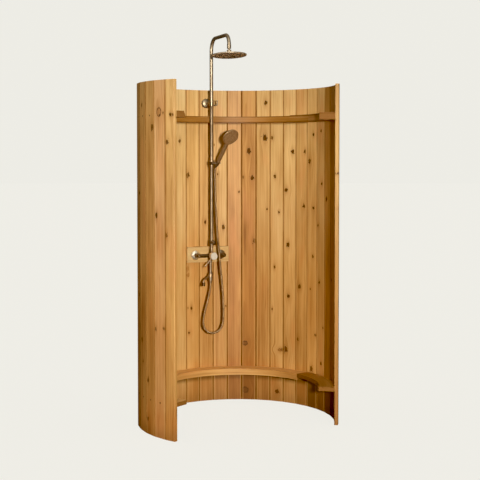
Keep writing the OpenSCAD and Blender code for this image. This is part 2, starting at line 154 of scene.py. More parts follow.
def catmull(points, per):
    out = []
    n = len(points)
    for i in range(n - 1):
        p0, p1, p2, p3 = (np.array(points[max(0, min(n - 1, j))], float) for j in (i - 1, i, i + 1, i + 2))
        for j in range(per):
            t = j / per
            out.append(0.5 * (2 * p1 + (p2 - p0) * t + (2 * p0 - 5 * p1 + 4 * p2 - p3) * t * t
                              + (3 * p1 - p0 - 3 * p2 + p3) * t ** 3))
    out.append(np.array(points[-1], float))
    return np.array(out)


def evenly(line, step):
    along = np.concatenate([[0], np.cumsum(np.linalg.norm(np.diff(line, axis=0), axis=1))])
    at = np.linspace(0, along[-1], int(round(along[-1] / step)) + 1)
    return np.stack([np.interp(at, along, line[:, k]) for k in range(3)], axis=1), at


def hose_rings():
    pts = np.array([(x / 1000, CY + y / 1000, z / 1000) for x, y, z in HOSE_ROUTE])
    line, _ = evenly(catmull(pts, 12), 0.004)
    for _ in range(40):  # rounds off the joins between the route's stretches
        line[1:-1] += 0.25 * (line[:-2] - 2 * line[1:-1] + line[2:])
    return evenly(line, HOSE_PITCH / HOSE_STEPS)


HOSE_PITCH = 0.0042  # one turn of the wound strip
HOSE_STEPS = 7
HOSE_SIDES = 18
line, along = hose_rings()
tangent = np.gradient(line, axis=0)
tangent[0] = (0, 0, -1)
tangent[-1] = np.array((0.2363, -0.5068, 0.8290))
tangent /= np.linalg.norm(tangent, axis=1)[:, None]
u = np.cross(tangent[0], (0.0, 1.0, 0.0))
hose_verts = []
for i, (p, t) in enumerate(zip(line, tangent)):
    u = u - t * np.dot(u, t)
    u /= np.linalg.norm(u)
    w = np.cross(t, u)
    row = []
    for k in range(HOSE_SIDES):
        a = 2 * math.pi * k / HOSE_SIDES
        phase = (along[i] / HOSE_PITCH + k / HOSE_SIDES) % 1.0
        # each turn is a rounded band with a narrow groove beside it
        groove = max(0.0, 1 - abs(phase - 0.5) / 0.30)
        r = HOSE_D / 2 - 0.00105 * groove * groove * (3 - 2 * groove) + 0.0001
        row.append(p + r * (math.cos(a) * u + math.sin(a) * w))
    hose_verts.append(row)


def hose_piece(name, a, b):
    verts = [q for row in hose_verts[a:b + 1] for q in row]
    n, m = b - a + 1, HOSE_SIDES
    faces = [(i * m + k, (i + 1) * m + k, (i + 1) * m + (k + 1) % m, i * m + (k + 1) % m)
             for i in range(n - 1) for k in range(m)]
    faces += [tuple(range(m)), tuple((n - 1) * m + k for k in reversed(range(m)))]
    return new_mesh(name, verts, faces)


def ring_at(distance_from_end):
    return int(np.argmin(abs(along - (along[-1] - distance_from_end))))


cut_1, cut_2 = ring_at(0.215), ring_at(0.095)
hose_main = hose_piece("hose_main", 0, cut_1)
hose_bend = hose_piece("hose_bend", cut_1, cut_2)
hose_end = hose_piece("hose_end", cut_2, len(line) - 1)
for obj in (hose_main, hose_bend, hose_end):
    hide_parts("hose")


# ---------------------------------------------------------------- material helpers


class Tree:
    """Short names for building one material's nodes."""

    def __init__(self, name):
        self.mat = bpy.data.materials.new(name)
        self.mat.use_nodes = True
        self.t = self.mat.node_tree
        self.t.nodes.clear()
        self.out = self.new("ShaderNodeOutputMaterial")
        self.bsdf = self.new("ShaderNodeBsdfPrincipled")
        self.t.links.new(self.bsdf.outputs[0], self.out.inputs[0])

    def new(self, kind, **props):
        n = self.t.nodes.new(kind)
        for k, v in props.items():
            setattr(n, k, v)
        return n

    def put(self, socket, value):
        if isinstance(value, bpy.types.NodeSocket):
            self.t.links.new(value, socket)
        elif value is not None:
            if socket.type == "RGBA" and len(value) == 3:
                value = (*value, 1.0)
            socket.default_value = value

    def set(self, name, value):
        self.put(self.bsdf.inputs[name], value)

    def math(self, op, a, b=None, c=None, clamp=False):
        n = self.new("ShaderNodeMath", operation=op, use_clamp=clamp)
        for s, v in zip(n.inputs, (a, b, c)):
            self.put(s, v)
        return n.outputs[0]

    def add(self, a, b):
        return self.math("ADD", a, b)

    def sub(self, a, b):
        return self.math("SUBTRACT", a, b)

    def mul(self, a, b):
        return self.math("MULTIPLY", a, b)

    def vec(self, op, a, b=None, scale=None):
        n = self.new("ShaderNodeVectorMath", operation=op)
        self.put(n.inputs[0], a)
        if b is not None:
            self.put(n.inputs[1], b)
        if scale is not None:
            self.put(n.inputs["Scale"], scale)
        return n.outputs["Value"] if op in ("LENGTH", "DOT_PRODUCT", "DISTANCE") else n.outputs[0]

    def split(self, v):
        return self.new_linked("ShaderNodeSeparateXYZ", v).outputs

    def new_linked(self, kind, v):
        n = self.new(kind)
        self.put(n.inputs[0], v)
        return n

    def join(self, x, y, z):
        n = self.new("ShaderNodeCombineXYZ")
        for s, v in zip(n.inputs, (x, y, z)):
            self.put(s, v)
        return n.outputs[0]

    def smooth(self, value, lo, hi, a=0.0, b=1.0, kind="SMOOTHSTEP"):
        n = self.new("ShaderNodeMapRange", interpolation_type=kind)
        for s, v in zip(n.inputs, (value, lo, hi, a, b)):
            self.put(s, v)
        return n.outputs[0]

    def mix(self, f, a, b, blend="MIX"):
        n = self.new("ShaderNodeMix", data_type="RGBA", blend_type=blend)
        self.put(n.inputs[0], f)
        self.put(n.inputs[6], a)
        self.put(n.inputs[7], b)
        return n.outputs[2]

    def noise(self, v, scale=1.0, detail=2.0, rough=0.5, distort=0.0):
        n = self.new("ShaderNodeTexNoise")
        for name, x in (("Vector", v), ("Scale", scale), ("Detail", detail), ("Roughness", rough), ("Distortion", distort)):
            self.put(n.inputs[name], x)
        return n.outputs["Fac"]

    def voronoi(self, v, scale, feature="F1", out="Distance"):
        n = self.new("ShaderNodeTexVoronoi", feature=feature)
        self.put(n.inputs["Vector"], v)
        self.put(n.inputs["Scale"], scale)
        return n.outputs[out]

    def ramp(self, f, stops, mode="LINEAR"):
        n = self.new("ShaderNodeValToRGB")
        n.color_ramp.interpolation = mode
        e = n.color_ramp.elements
        while len(e) < len(stops):
            e.new(0.5)
        for s, (at, c) in zip(e, stops):
            s.position = at
            s.color = (*c, 1.0)
        self.put(n.inputs[0], f)
        return n.outputs[0]

    def bump(self, height, distance, strength=1.0, normal=None):
        n = self.new("ShaderNodeBump")
        self.put(n.inputs["Height"], height)
        n.inputs["Distance"].default_value = distance
        n.inputs["Strength"].default_value = strength
        if normal is not None:
            self.put(n.inputs["Normal"], normal)
        return n.outputs[0]

    def place(self):
        return self.new("ShaderNodeTexCoord").outputs["Object"]


# ---------------------------------------------------------------- wood

WOODS = {  # light, middle and dark of the figure, in linear colour
    "honey": ((0.745, 0.462, 0.180), (0.625, 0.352, 0.120), (0.390, 0.182, 0.046)),
    "pink": ((0.745, 0.440, 0.195), (0.625, 0.330, 0.132), (0.390, 0.170, 0.052)),
    "tan": ((0.675, 0.405, 0.150), (0.540, 0.292, 0.096), (0.335, 0.148, 0.037)),
    "brown": ((0.580, 0.312, 0.102), (0.450, 0.220, 0.067), (0.268, 0.106, 0.024)),
    "pale": ((0.820, 0.550, 0.240), (0.700, 0.432, 0.168), (0.480, 0.240, 0.072)),
    "straw": ((0.745, 0.475, 0.200), (0.622, 0.368, 0.138), (0.400, 0.198, 0.058)),
    "rust": ((0.560, 0.275, 0.072), (0.430, 0.193, 0.043), (0.250, 0.092, 0.014)),
}


def wood(name, local, seed, hue, knots, half=None, weather_and_shade=True, gain=1.0, pith=None, free=0, rim=None,
         arc=False, stain_and_shade=0.0, low=0.0, joints=(0.80, 0.80), front=None, lit_top=0.0, bold=False):
    """Cedar whose grain runs along the local Z, with X across the board and Y through it.
    local(tree) gives the local place; knots are (across, along, radius) in metres."""
    rnd = random.Random(seed)
    t = Tree(name)
    p = local(t)
    x0, y0, z0 = t.split(p)
    moved, nearest, hollow, faint, flame = p, None, None, None, None
    for kx, kz, r, *shape in knots:
        soft, r = r < 0, abs(r)
        tall = rnd.uniform(1.05, 1.55)
        tall = shape[0] if shape else tall
        v = t.vec("MULTIPLY", t.vec("SUBTRACT", p, (kx, 0, kz)), (1 / r, 0, 1 / (r * tall)))
        d = t.vec("LENGTH", v)
        if soft:
            faint = d if faint is None else t.math("MINIMUM", faint, d)
        elif r > 0.0145:  # an old knot: only its ring of bark is dark
            hollow = d if hollow is None else t.math("MINIMUM", hollow, d)
        else:
            nearest = d if nearest is None else t.math("MINIMUM", nearest, d)
        long = t.vec("LENGTH", t.vec("MULTIPLY", v, (0.52, 0, rnd.uniform(0.20, 0.34))))
        flame = long if flame is None else t.math("MINIMUM", flame, long)
        near = t.math("EXPONENT", t.mul(t.mul(d, d), -0.10))
        push = t.vec("SCALE", v, scale=t.mul(near, -0.80 * r))
        moved = t.vec("ADD", moved, push)
    wob = t.add(t.mul(t.noise(t.vec("MULTIPLY", p, (95, 95, 60)), 1.0, 3.0, 0.65), 2.7), -0.35)
    nearest = t.mul(nearest, wob) if nearest is not None else 9.0
    faint = t.mul(faint, wob) if faint is not None else None
    if hollow is not None:
        hollow = t.mul(hollow, t.add(t.mul(wob, 0.4), 0.6))
    shift = (seed * 1.37 % 9, seed * 0.71 % 7, seed * 2.13 % 11)
    q = t.vec("ADD", moved, shift)
    drift = t.noise(t.vec("MULTIPLY", q, (5, 5, 0.8)), 1.0, 2.0, 0.5)
    drift2 = t.noise(t.vec("MULTIPLY", q, (18, 18, 3.2)), 1.0, 2.0, 0.5)
    x, y, _ = t.split(moved)
    px, py = pith or (rnd.uniform(-0.035, 0.035), rnd.choice((-1, 1)) * rnd.uniform(0.035, 0.11))
    ax = t.add(t.sub(x, px), t.add(t.mul(t.sub(drift, 0.5), 0.075), t.mul(t.sub(drift2, 0.5), 0.014)))
    ay = t.sub(y, py)
    away = t.math("SQRT", t.add(t.mul(ax, ax), t.mul(ay, ay)))
    rings = t.add(t.mul(away, 1 / rnd.uniform(0.0052, 0.0080)), t.mul(drift2, 1.1))
    saw = t.math("FRACT", rings)
    late = t.math("MULTIPLY", t.math("POWER", saw, 2.6), t.smooth(saw, 0.93, 1.0, 1.0, 0.0))
    fibre = t.noise(t.vec("MULTIPLY", q, (520, 520, 9)), 1.0, 3.0, 0.62)
    streak = t.noise(t.vec("MULTIPLY", q, (95, 95, 1.5)), 1.0, 3.0, 0.6)
    patch = t.noise(t.vec("MULTIPLY", q, (11, 11, 1.9)), 1.0, 3.0, 0.5)
    tone = t.add(t.mul(t.sub(fibre, 0.5), 0.50), t.mul(t.sub(streak, 0.5), 1.15))
    tone = t.add(tone, t.mul(t.sub(patch, 0.5), 1.45))
    tone = t.sub(tone, t.mul(t.sub(late, 0.25), 0.27))
    tone = t.math("ADD", tone, 0.56, clamp=True)
    light, middle, dark = (tuple(min(1.0, c * gain) for c in col) for col in WOODS[hue])
    colour = t.ramp(tone, [(0.0, dark), (0.52, middle), (1.0, light)])
    blush = t.smooth(t.noise(t.vec("MULTIPLY", q, (9, 9, 2.6)), 1.0, 2.0, 0.5), 0.54, 0.72)
    colour = t.mix(t.mul(blush, 0.42), colour, tuple(min(1.0, c * gain) for c in (0.60, 0.262, 0.088)))
    # short dark checks and mineral streaks
    check = t.noise(t.vec("MULTIPLY", q, (240, 240, 3.6)), 1.0, 2.0, 0.5)
    check = t.smooth(check, 0.66, 0.78)
    colour = t.mix(t.mul(check, 0.38), colour, tuple(c * 0.55 for c in dark))
    if knots:
        glow = t.math("EXPONENT", t.mul(t.mul(flame, flame), -1.3))
        glow = t.mul(glow, t.smooth(streak, 0.30, 0.62, 0.35, 1.0))
        colour = t.mix(t.mul(glow, 0.62), colour, (0.300, 0.118, 0.022))
        if faint is not None:
            spot = t.smooth(faint, 1.25, 0.70)
            colour = t.mix(t.mul(spot, t.smooth(fibre, 0.35, 0.65, 0.35, 0.80)), colour, (0.270, 0.095, 0.014))
        inside = t.smooth(nearest, 1.15, 0.85)
        ring = t.math("SINE", t.mul(t.add(nearest, t.mul(fibre, 0.35)), 15.0))
        pale = t.smooth(t.noise(p, 9.0, 1.0, 0.5), 0.44, 0.60)
        core = t.mix(t.smooth(ring, -1.0, 1.0), (0.045, 0.012, 0.0005), t.mix(pale, (0.130, 0.042, 0.004), (0.250, 0.100, 0.015)))
        colour = t.mix(t.mul(inside, 0.95), colour, core)
        bark = t.mul(t.smooth(nearest, 0.74, 0.98), t.smooth(nearest, 1.20, 1.00))
        colour = t.mix(t.mul(bark, 0.80), colour, (0.022, 0.007, 0.001))
        if hollow is not None:
            wide = t.add(hollow, t.mul(t.sub(patch, 0.5), 0.5))
            colour = t.mix(t.mul(t.smooth(wide, 1.15, 0.80), 0.75 if bold else 0.45), colour,
                           (0.095, 0.036, 0.008) if bold else (0.30, 0.120, 0.034))
            bark = t.mul(t.smooth(wide, 0.56 if bold else 0.74, 0.84 if bold else 0.92), t.smooth(wide, 1.22, 1.02))
            colour = t.mix(t.mul(bark, 0.90), colour, (0.030, 0.011, 0.003) if bold else (0.085, 0.030, 0.009))
    if weather_and_shade:
        # colour by height: darker and redder towards the bottom, paler near the top, and darker again at the very top,
        # which is painted falloff of light
        at = t.mul(t.add(z0, t.mul(t.sub(patch, 0.5), 0.30)), 0.5)
        tint = t.ramp(at, [(0.05, (0.75, 0.60, 0.49)), (0.135, (0.79, 0.745, 0.67)), (0.31, (0.73, 0.65, 0.56)),
                           (0.42, (0.72, 0.66, 0.575)), (0.60, (0.72, 0.705, 0.705)), (0.80, (0.80, 0.83, 0.85)),
                           (0.90, (0.83, 0.885, 0.96)), (0.97, (0.76, 0.82, 0.90))])
        colour = t.mix(1.0, colour, t.vec("SCALE", tint, scale=1.25), "MULTIPLY")
        lower_darkening = t.smooth(t.add(z0, t.mul(t.sub(streak, 0.5), 0.30)), 1.25, -0.10)
        lower_darkening = t.mul(lower_darkening, t.smooth(y0, 0.004, 0.018, 0.31, 0.34))
        colour = t.mix(lower_darkening, colour, (0.20, 0.072, 0.016), "MIX")
        # darker still in the lowest few centimetres
        foot_darkening = t.smooth(t.add(z0, t.mul(t.sub(streak, 0.5), 0.10)), 0.09, 0.0)
        colour = t.mix(t.mul(foot_darkening, 0.30), colour, (0.085, 0.034, 0.009))
        # painted shadow in a narrow band on the inner face just under each brace, and below the lower braces a
        # darkening that is partly a damp stain and partly painted shadow
        inner = t.smooth(y0, 0.012, 0.004)
        under_brace_shadow = t.mul(t.smooth(z0, 0.120, 0.152), t.smooth(z0, 0.184, 0.178))
        under_brace_shadow = t.math("MAXIMUM", under_brace_shadow, t.mul(t.mul(t.smooth(z0, 1.758, 1.772), t.smooth(z0, 1.782, 1.775)), 0.85))
        colour = t.mix(t.mul(t.mul(under_brace_shadow, inner), 0.72 - 0.8 * stain_and_shade), colour, (0.110, 0.038, 0.003))
        # partly a damp stain, partly painted shadow below the lower brace
        if stain_and_shade:
            darker_below = t.smooth(t.add(z0, t.mul(t.sub(streak, 0.5), 0.08)), 0.215, 0.165)
            colour = t.mix(t.mul(t.mul(darker_below, inner), stain_and_shade), colour, (0.095, 0.033, 0.004))
        if low:
            darker_below = t.smooth(t.add(z0, t.mul(t.sub(patch, 0.5), 0.20)), 0.85, 0.20)
            colour = t.mix(t.mul(t.mul(darker_below, inner), low), colour, (0.200, 0.066, 0.006))
    if half:
        # dirt and shade in the joint; half is the tangent of half the angle the stave takes
        side = t.mul(x0, -free) if free else t.math("ABSOLUTE", x0)
        edge = t.math("DIVIDE", side, t.add(y0, 0.5671))
        edge = t.add(edge, t.mul(t.sub(streak, 0.5), 0.0022))
        force = t.smooth(x0, -0.001, 0.001, joints[0], joints[1])
        force = t.mul(force, t.smooth(t.noise(t.vec("MULTIPLY", q, (3, 3, 7)), 1.0, 2.0, 0.5), 0.35, 0.60, 0.72, 1.10))
        shade = t.smooth(edge, half - 0.0240, half - 0.0060)
        edge = t.smooth(edge, half - 0.0092, half - 0.0040)
        # painted highlight: a pale band along each side of a joint, where the eased edges catch the light
        joint_highlight = t.mul(t.smooth(side, 0.033, 0.038), t.smooth(side, 0.0435, 0.0400)) if half > 0.07 else 0.0
        colour = t.mix(t.mul(joint_highlight, 0.15), colour, (0.85, 0.56, 0.24))
        colour = t.mix(t.mul(t.mul(shade, force), 0.55), colour, (0.340, 0.135, 0.018))
        colour = t.mix(t.mul(edge, t.mul(t.math("MINIMUM", force, 1.0), 0.90)), colour, (0.110, 0.037, 0.002))
    nx, ny, nz = t.split(t.new("ShaderNodeNewGeometry").outputs["Normal"])
    if rim:  # painted shade: dark lines along the top and bottom arrises of a brace's face
        d = t.math("ABSOLUTE", t.sub(y0, rim[0]))
        for z in rim[1:]:
            d = t.math("MINIMUM", d, t.math("ABSOLUTE", t.sub(y0, z)))
        line_ = t.mul(t.smooth(t.add(d, t.mul(t.sub(streak, 0.5), 0.003)), 0.0075, 0.0020), t.smooth(t.math("ABSOLUTE", nz), 0.6, 0.4))
        colour = t.mix(t.mul(line_, 0.75), colour, (0.120, 0.040, 0.004))
    # painted light: the top face of a brace lighter, as lit from above
    if lit_top:
        colour = t.mix(t.mul(t.smooth(nz, 0.7, 0.9), lit_top), colour, (0.72, 0.43, 0.17))
    if arc:  # end grain where the face looks along the arc
        px_, py_, _ = t.split(t.vec("SUBTRACT", t.place(), (0, CY, 0)))
        e = t.math("ABSOLUTE", t.sub(t.mul(nx, py_), t.mul(ny, px_)))
        end = t.smooth(e, 0.34, 0.44)
        if front is not None:  # painted shade: the face towards the wall's centre is darker
            inward = t.math("DIVIDE", t.add(t.mul(nx, px_), t.mul(ny, py_)), t.vec("LENGTH", t.join(px_, py_, 0.0)))
            colour = t.mix(t.mul(t.smooth(inward, -0.4, -0.8), front), colour, (0.085, 0.026, 0.002))
    else:
        end = t.smooth(nz, 0.6, 0.9)
    grain = t.noise(t.vec("MULTIPLY", q, (330, 330, 330)), 1.0, 3.0, 0.6)
    end_colour = t.mix(t.add(t.mul(late, 0.5), t.mul(grain, 0.5)), (0.225, 0.090, 0.019), (0.110, 0.040, 0.006))
    colour = t.mix(t.mul(end, 0.88 if arc else 0.45), colour, end_colour)
    t.set("Base Color", colour)
    rough = t.add(t.mul(fibre, 0.16), 0.44)
    if knots:
        rough = t.add(rough, t.mul(inside, 0.28))
    if half:
        rough = t.add(rough, t.mul(edge, 0.35))
    t.set("Roughness", t.math("ADD", rough, t.mul(end, 0.25), clamp=True))
    t.set("Specular IOR Level", 0.25)
    height = t.add(t.mul(fibre, 0.45), t.mul(late, 0.55))
    if knots:
        height = t.sub(height, t.mul(t.smooth(nearest, 1.15, 0.9), 0.8))
    height = t.sub(height, t.mul(check, 0.7))
    t.set("Normal", t.bump(height, 0.00045, 0.65))
    return t.mat


def stave_angle(k):
    if k == 1:
        return -math.radians(9.33 / 2 + 12 * 9.33 + 6.6 / 2)
    if k == 27:
        return math.radians(9.33 / 2 + 12 * 9.33 + 5.3 / 2)
    return (k - 14) * PITCH


def stave_local(k):
    a = stave_angle(k)

    def local(t):
        n = t.new("ShaderNodeMapping", vector_type="POINT")
        n.inputs["Location"].default_value = (CY * math.sin(a), -CY * math.cos(a) - 0.5671, 0)
        n.inputs["Rotation"].default_value = (0, 0, a)
        t.put(n.inputs["Vector"], t.place())
        return n.outputs[0]

    return local


def arc_local(t):
    """Bent timber: across is the distance from the wall's centre, along is the arc's length."""
    p = t.vec("SUBTRACT", t.place(), (0, CY, 0))
    x, y, z = t.split(p)
    radius = t.math("SQRT", t.add(t.mul(x, x), t.mul(y, y)))
    angle = t.math("ARCTAN2", x, y)
    return t.join(t.sub(radius, 0.522), z, t.mul(angle, 0.522))


def board_local(t):
    x, y, z = t.split(t.place())
    return t.join(t.sub(z, 0.942), t.sub(y, 0.40), x)


# where the knots are: (stave, across, height, radius) in millimetres, and how tall it is for its width
KNOTS = [
    (18, 17, 1903, 7), (17, -1, 1597, 9), (18, 12, 1679, 11), (19, -34, 1681, 6), (20, 23, 1592, 9), (21, 27, 1592, 6),
    (22, -24, 1531, 8), (22, 13, 1697, 6), (23, 0, 1717, 5), (19, -13, 1436, 6), (17, 22, 1425, 8), (17, -38, 1431, 5),
    (20, -28, 1350, 9), (21, 20, 1253, 8), (22, 14, 1244, 7), (23, 12, 1396, 6), (24, -19, 1305, 8), (18, 26, 1228, 3),
    (17, 36, 1022, 9), (20, -13, 1006, 8), (23, -32, 1138, 5), (19, 15, 1210, 5), (19, -15, 860, 5), (19, -31, 590, 4),
    (20, -8, 680, 8), (21, -15, 746, 9), (22, 10, 944, 6), (23, -15, 789, 6), (21, -30, 414, 6), (22, 36, 457, 6),
    (23, 30, 514, 4), (20, -30, 340, 12, 1.35), (19, 27, 331, 14, 0.42), (19, 40, 333, 11, 0.55), (17, -25, 364, 14, 0.85), (17, -24, 62, 17, 0.90), (19, 3, 63, 11, 0.9), (22, -4, 243, 9, 1.5),
    (23, 6, 292, 6), (25, -18, 824, 5), (22, -14, 739, 4), (12, -4, 1658, 7), (13, -37, 1445, 9), (14, -7, 1145, 6),
    (15, 21, 1111, 7), (15, -16, 1450, 4), (15, -38, 1635, 3), (16, 29, 1335, 4), (13, -38, 852, -9), (13, -36, 813, -8),
    (15, 37, 604, 4), (13, -36, 604, 3), (13, -10, 602, 6), (13, -28, 445, 5), (12, 36, 150, 4),
    (4, 14, 1851, 5), (3, -27, 1725, 9), (3, -24, 1707, 4), (2, 5, 1804, 15), (2, -32, 1797, 4), (1, -8, 1789, 7),
    (1, -24, 1788, 4), (1, 20, 1640, 8), (2, 28, 1235, 8), (1, 28, 1129, 8), (2, 38, 605, 6), (2, -36, 614, 6),
    (4, 23, 523, 6), (4, 6, 400, 5), (3, 29, 305, 8), (3, 31, 86, 7), (27, 21, 1463, 5), (27, 22, 1262, 3),
]
# wood and brightness of each stave; stave 24's dark rust stands partly for the shade on the right, which is painted
# shade
HUES = {
    1: ("tan", 1.00), 2: ("pink", 1.00), 3: ("brown", 1.17), 4: ("brown", 1.22), 5: ("brown", 1.20),
    6: ("tan", 1.05), 7: ("tan", 1.02), 8: ("pale", 0.85), 9: ("honey", 0.95), 10: ("brown", 1.15),
    11: ("tan", 1.0), 12: ("pale", 0.92), 13: ("honey", 0.98), 14: ("tan", 0.98), 15: ("honey", 0.91),
    16: ("brown", 1.15), 17: ("rust", 0.97), 18: ("tan", 0.93), 19: ("straw", 0.95), 20: ("straw", 1.01),
    21: ("tan", 0.99), 22: ("tan", 1.04), 23: ("tan", 0.91), 24: ("rust", 0.92), 25: ("brown", 1.02),
    26: ("brown", 1.12), 27: ("tan", 0.84),
}
# how dark the joint between a stave and the next one is
JOINTS = {1: 0.75, 2: 0.40, 3: 0.45, 12: 0.55, 13: 0.60, 15: 0.72, 16: 1.00, 17: 0.90, 18: 0.62, 19: 0.72, 20: 0.58, 21: 0.50, 22: 0.50, 23: 0.75}
SEEN = set(range(1, 5)) | set(range(12, 28))
# how much darker each stave's inner face is below the lower braces: partly a damp stain, partly painted shadow of the
# braces
STAIN_AND_SHADE = {16: 0.12, 17: 0.26, 18: 0.06, 21: 0.12, 22: 0.84, 23: 0.74, 24: 0.62, 25: 0.62, 26: 0.62, 27: 0.50}
LOW = {1: 0.15, 2: 0.12, 16: 0.26, 17: 0.22}
for k in range(1, 28):
    rnd = random.Random(500 + k)
    spots = [(x / 1000, z / 1000, r / 860, *shape) for s, x, z, r, *shape in KNOTS if s == k]
    if k not in SEEN:
        z = rnd.uniform(0.1, 0.5)
        while z < 1.9:
            spots.append((rnd.uniform(-0.034, 0.034), z, rnd.uniform(0.004, 0.009)))
            z += rnd.uniform(0.28, 0.75)
    half = math.tan(math.radians({1: 6.6, 27: 5.3}.get(k, 9.33)) / 2)
    hue, gain = HUES[k]
    free = {1: -1, 27: 1}.get(k, 0)  # the side of a stave that no other stave meets
    material = wood(f"cedar_{k:02d}", stave_local(k), 11 + k * 3, hue, spots, half=half, gain=gain, free=free,
                    bold=k == 17, stain_and_shade=STAIN_AND_SHADE.get(k, 0.0), low=LOW.get(k, 0.0), joints=(JOINTS.get(k - 1, 0.70), JOINTS.get(k, 0.70)))
    obj = nodes[f"stave_{k:02d}"]
    obj.data.materials.clear()
    obj.data.materials.append(material)


def dress(node, material):
    obj = nodes[node]
    for i in range(len(obj.material_slots)):
        obj.material_slots[i].material = material
    if not len(obj.material_slots):
        obj.data.materials.append(material)


BRACES = {
    "upper_back_brace": (201, "rust", 0.72, [(0.02, 0.30, 0.006), (-0.02, -0.12, 0.005)]),
    "upper_left_brace": (207, "tan", 0.98, [(0.015, -0.75, 0.006)]),
    "upper_right_brace": (213, "brown", 0.80, []),
    "lower_back_brace": (219, "brown", 1.13, [(-0.01, 0.10, 0.006), (0.02, 0.47, 0.005)]),
    "lower_right_brace": (225, "rust", 0.66, []),
    "lower_left_brace": (231, "brown", 1.1, [(0.01, -0.80, 0.007)]),
}
for node, (seed, hue, gain, spots) in BRACES.items():
    low = 0.177 if node == "lower_back_brace" else 0.186 if node.startswith("lower") else 1.773
    high = {"lower_back_brace": 0.216, "lower_right_brace": 0.210, "lower_left_brace": 0.210}.get(node, 1.812)
    # the lower right brace's inner face gets painted shade, and the tops of the lower back and left braces painted
    # light
    dress(node, wood(f"{node}_wood", arc_local, seed, hue, spots, weather_and_shade=False, gain=gain, pith=(0.16, -0.05),
                     rim=None if low < 1 else (low, high), arc=True, front=0.80 if node == "lower_right_brace" else None,
                     lit_top=0.45 if node in ("lower_back_brace", "lower_left_brace") else 0.0))
dress("backing_board", wood("board_wood", board_local, 301, "pale", [(0.018, -0.085, 0.005)], weather_and_shade=False,
                            gain=0.70, pith=(0.10, -0.06)))


# ---------------------------------------------------------------- metal


def metal(name, light, dark, rough, patina=0.5, brush=(900, 900, 60), grime=0.5, metallic=1.0, dull=None, spots=False):
    """Aged bronze: brushed, with darker brown patina in patches; across a given X range it turns darker all over, which
    is painted shade.
    """
    t = Tree(name)
    p = t.place()
    blotch = t.noise(p, 26.0, 4.0, 0.6)
    fine = t.noise(p, 170.0, 3.0, 0.6)
    lines = t.noise(t.vec("MULTIPLY", p, brush), 1.0, 2.0, 0.6)
    f = t.add(t.mul(blotch, 0.75), t.mul(fine, 0.30))
    f = t.add(f, t.mul(t.sub(lines, 0.5), 0.35))
    f = t.smooth(f, 0.62 - 0.35 * patina, 0.98 - 0.25 * patina)
    colour = t.mix(f, light, dark)
    colour = t.mix(t.mul(t.smooth(t.noise(p, 9.0, 2.0, 0.5), 0.58, 0.75), grime), colour, dark)
    if spots:  # water marks on the face turned down, dark and pale; the pale ones are a painted reflection of light from below
        under = t.smooth(t.split(t.new("ShaderNodeNewGeometry").outputs["Normal"])[2], -0.6, -0.9)
        mark = t.smooth(t.noise(t.vec("MULTIPLY", p, (125, 40, 40)), 1.0, 2.0, 0.7), 0.45, 0.55)
        colour = t.mix(under, colour, t.mix(mark, (0.055, 0.040, 0.023), (0.86, 0.70, 0.51)))
    if dull:
        # painted shade: darker all over on one side along X, so one flange of the pair is darker than the other
        colour = t.mix(t.smooth(t.split(p)[0], *dull), colour, tuple(c * 0.55 for c in dark))
    t.set("Base Color", colour)
    t.set("Metallic", metallic)
    t.set("Roughness", t.math("ADD", t.mul(f, 0.16), t.add(t.mul(t.sub(lines, 0.5), 0.14), rough), clamp=True))
    t.set("Normal", t.bump(t.add(t.mul(lines, 0.6), t.mul(fine, 0.4)), 0.00006, 0.5))
    return t.mat


BRACKET = metal("bronze_bracket", (0.31, 0.245, 0.16), (0.15, 0.10, 0.056), 0.44, patina=0.3, grime=0.3)
BRONZE = metal("bronze_brushed", (0.300, 0.215, 0.130), (0.13, 0.078, 0.040), 0.48)
BRONZE_UP = metal("bronze_pipe", (0.300, 0.228, 0.150), (0.16, 0.105, 0.060), 0.54, brush=(60, 60, 1400))
BRONZE_ACROSS = metal("bronze_cross", (0.215, 0.145, 0.080), (0.10, 0.056, 0.027), 0.32, brush=(1400, 60, 60))
BRONZE_POLISHED = metal("bronze_polished", (0.88, 0.78, 0.62), (0.56, 0.45, 0.31), 0.42, patina=0.2, grime=0.2)
BRONZE_FLANGE = metal("bronze_flange", (0.92, 0.87, 0.70), (0.55, 0.47, 0.32), 0.46, patina=0.20, grime=0.3, dull=(-0.02, 0.04))
BRONZE_HAND = metal("bronze_handset", (0.500, 0.350, 0.200), (0.27, 0.170, 0.085), 0.50)
BRONZE_HEAD = metal("bronze_rain_head", (0.430, 0.345, 0.240), (0.22, 0.165, 0.105), 0.46, metallic=0.65, spots=True)
BRONZE_NECK = metal("bronze_neck", (0.42, 0.34, 0.235), (0.22, 0.16, 0.10), 0.50, brush=(60, 60, 1400))
BRONZE_LEVER = metal("bronze_lever", (0.68, 0.56, 0.40), (0.42, 0.31, 0.19), 0.40, patina=0.3)
BRONZE_SPOUT = metal("bronze_spout", (0.46, 0.325, 0.190), (0.23, 0.135, 0.070), 0.42)
BRONZE_DARK = metal("bronze_dark", (0.15, 0.088, 0.045), (0.050, 0.028, 0.016), 0.42, patina=0.6)
SCREW = metal("screw_bronze", (0.12, 0.078, 0.040), (0.045, 0.028, 0.014), 0.50, patina=0.5)
HOSE_METAL = metal("hose_strip", (0.45, 0.300, 0.160), (0.150, 0.085, 0.042), 0.46, patina=0.5, brush=(300, 300, 300))

